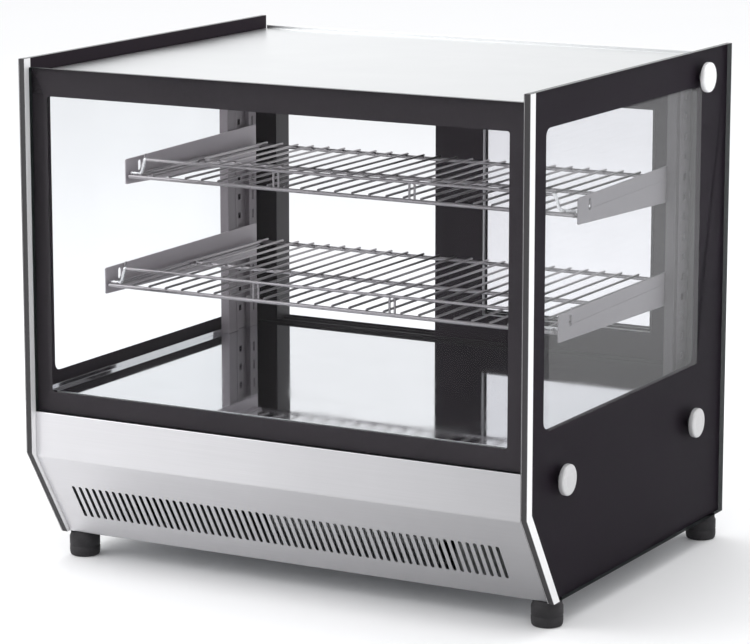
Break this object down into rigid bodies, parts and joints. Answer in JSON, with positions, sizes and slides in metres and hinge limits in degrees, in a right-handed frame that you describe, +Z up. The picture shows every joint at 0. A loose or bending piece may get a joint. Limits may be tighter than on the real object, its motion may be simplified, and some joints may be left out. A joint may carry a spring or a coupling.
{
  "type": "bakery display case",
  "caption": "Countertop chilled display case with flat glass front and sides, raked steel base with slotted vent, wire shelves and sliding rear doors.",
  "frame": {"origin": "on the counter, under the middle of the case's box", "axes": "+X to the right as the customer sees it and along the longest side, +Y from the front glass towards the rear doors, +Z up"},
  "size_m": [0.695, 0.566, 0.632],
  "materials": {
    "galvanised": "galvanised sheet",
    "stainless_front": "fine brushed stainless",
    "stainless_rear": "brushed stainless",
    "stainless_top": "satin stainless",
    "zinc": "zinc plated",
    "rubber_foot": "moulded rubber",
    "mirror_deck": "mirror-polished stainless",
    "foam_liner": "moulded foam liner",
    "clear_glass": "clear tempered glass",
    "black_print": "black enamel print",
    "bright_trim": "bright anodised",
    "black_insert": "black strip",
    "satin_knob": "satin turned",
    "white_liner": "white enamel",
    "aluminium_frame": "mill extrusion",
    "lamp_lens": "opal diffuser",
    "black_frame": "satin black paint",
    "door_plastic": "fine-grain moulding",
    "bead_metal": "bright strip",
    "gasket_rubber": "extruded seal",
    "nylon": "natural nylon",
    "post_steel": "folded steel",
    "bracket_steel": "grey enamel",
    "shelf_wire": "bright plated wire",
    "compressor_paint": "black enamel",
    "fin_aluminium": "mill finish fins",
    "fan_plastic": "moulded",
    "tray_plastic": "moulded",
    "copper": "drawn copper tube",
    "control_plastic": "fine-grain moulding",
    "display_lens": "dark red lens",
    "button_plastic": "satin caps",
    "rocker_plastic": "tinted rocker",
    "gland_plastic": "moulded nylon"
  },
  "bodies": {
    "case": {"base_pan": "galvanised", "chassis_sides": "galvanised", "front_panel": "stainless_front", "rear_panel": "stainless_rear", "rear_panel_screws": "zinc", "feet": "rubber_foot", "deck": "mirror_deck", "duct_tray": "foam_liner", "air_baffle": "foam_liner", "front_glass": "clear_glass", "front_glass_border": "black_print", "side_glass_left": "clear_glass", "side_glass_right": "clear_glass", "side_glass_borders": "black_print", "edge_trims": "bright_trim", "edge_inserts": "black_insert", "glass_bolts": "satin_knob", "top_panel": "stainless_top", "ceiling_liner": "white_liner", "front_header": "aluminium_frame", "top_side_rails": "aluminium_frame", "lamp_housing": "white_liner", "lamp_diffuser": "lamp_lens", "door_sill": "black_frame", "door_head": "black_frame", "door_jambs": "black_frame", "uprights": "post_steel", "upper_brackets": "bracket_steel", "lower_brackets": "bracket_steel", "compressor": "compressor_paint", "compressor_grommets": "gasket_rubber", "condenser": "fin_aluminium", "condenser_fan_motor": "zinc", "evaporator": "fin_aluminium", "blower_motor": "zinc", "drip_tray": "tray_plastic", "refrigerant_pipes": "copper", "control_bezel": "control_plastic", "control_display": "display_lens", "cable_gland": "gland_plastic"},
    "inner_door": {"inner_door_frame": "door_plastic", "inner_door_glass": "clear_glass", "inner_door_bead": "bead_metal", "inner_door_gasket": "gasket_rubber", "inner_door_glides": "nylon"},
    "outer_door": {"outer_door_frame": "door_plastic", "outer_door_glass": "clear_glass", "outer_door_bead": "bead_metal", "outer_door_gasket": "gasket_rubber", "outer_door_glides": "nylon"},
    "upper_shelf": {"shelf_upper": "shelf_wire", "shelf_upper_guard": "shelf_wire"},
    "lower_shelf": {"shelf_lower": "shelf_wire", "shelf_lower_guard": "shelf_wire"},
    "condenser_fan": {"condenser_fan": "fan_plastic"},
    "blower_rotor": {"blower_rotor": "fan_plastic"},
    "button_set": {"button_set": "button_plastic"},
    "button_up": {"button_up": "button_plastic"},
    "button_down": {"button_down": "button_plastic"},
    "power_rocker": {"power_rocker": "rocker_plastic"}
  },
  "joints": [
    {"name": "inner_door_slide", "type": "slide", "parent": "case", "child": "inner_door", "axis": [-1, 0, 0], "range_m": [0, 0.239]},
    {"name": "outer_door_slide", "type": "slide", "parent": "case", "child": "outer_door", "axis": [-1, 0, 0], "range_m": [-0.008, 0.2305]},
    {"name": "upper_shelf_lift", "type": "slide", "parent": "case", "child": "upper_shelf", "axis": [0, 0, 1], "range_m": [0, 0.05]},
    {"name": "lower_shelf_lift", "type": "slide", "parent": "case", "child": "lower_shelf", "axis": [0, 0, 1], "range_m": [0, 0.05]},
    {"name": "condenser_fan_spin", "type": "hinge", "parent": "case", "child": "condenser_fan", "pos_m": [0.055, -0.1, 0.092], "axis": [0, 1, 0], "continuous": true},
    {"name": "blower_spin", "type": "hinge", "parent": "case", "child": "blower_rotor", "pos_m": [-0.02, -0.13, 0.19], "axis": [1, 0, 0], "continuous": true},
    {"name": "button_set_press", "type": "slide", "parent": "case", "child": "button_set", "axis": [0, -1, 0], "range_m": [0, 0.001], "stiffness_N_per_m": 300},
    {"name": "button_up_press", "type": "slide", "parent": "case", "child": "button_up", "axis": [0, -1, 0], "range_m": [0, 0.001], "stiffness_N_per_m": 300},
    {"name": "button_down_press", "type": "slide", "parent": "case", "child": "button_down", "axis": [0, -1, 0], "range_m": [0, 0.001], "stiffness_N_per_m": 300},
    {"name": "power_rocker_tilt", "type": "hinge", "parent": "case", "child": "power_rocker", "pos_m": [0.168, 0.277, 0.132], "axis": [1, 0, 0], "range_deg": [0, 16]}
  ]
}
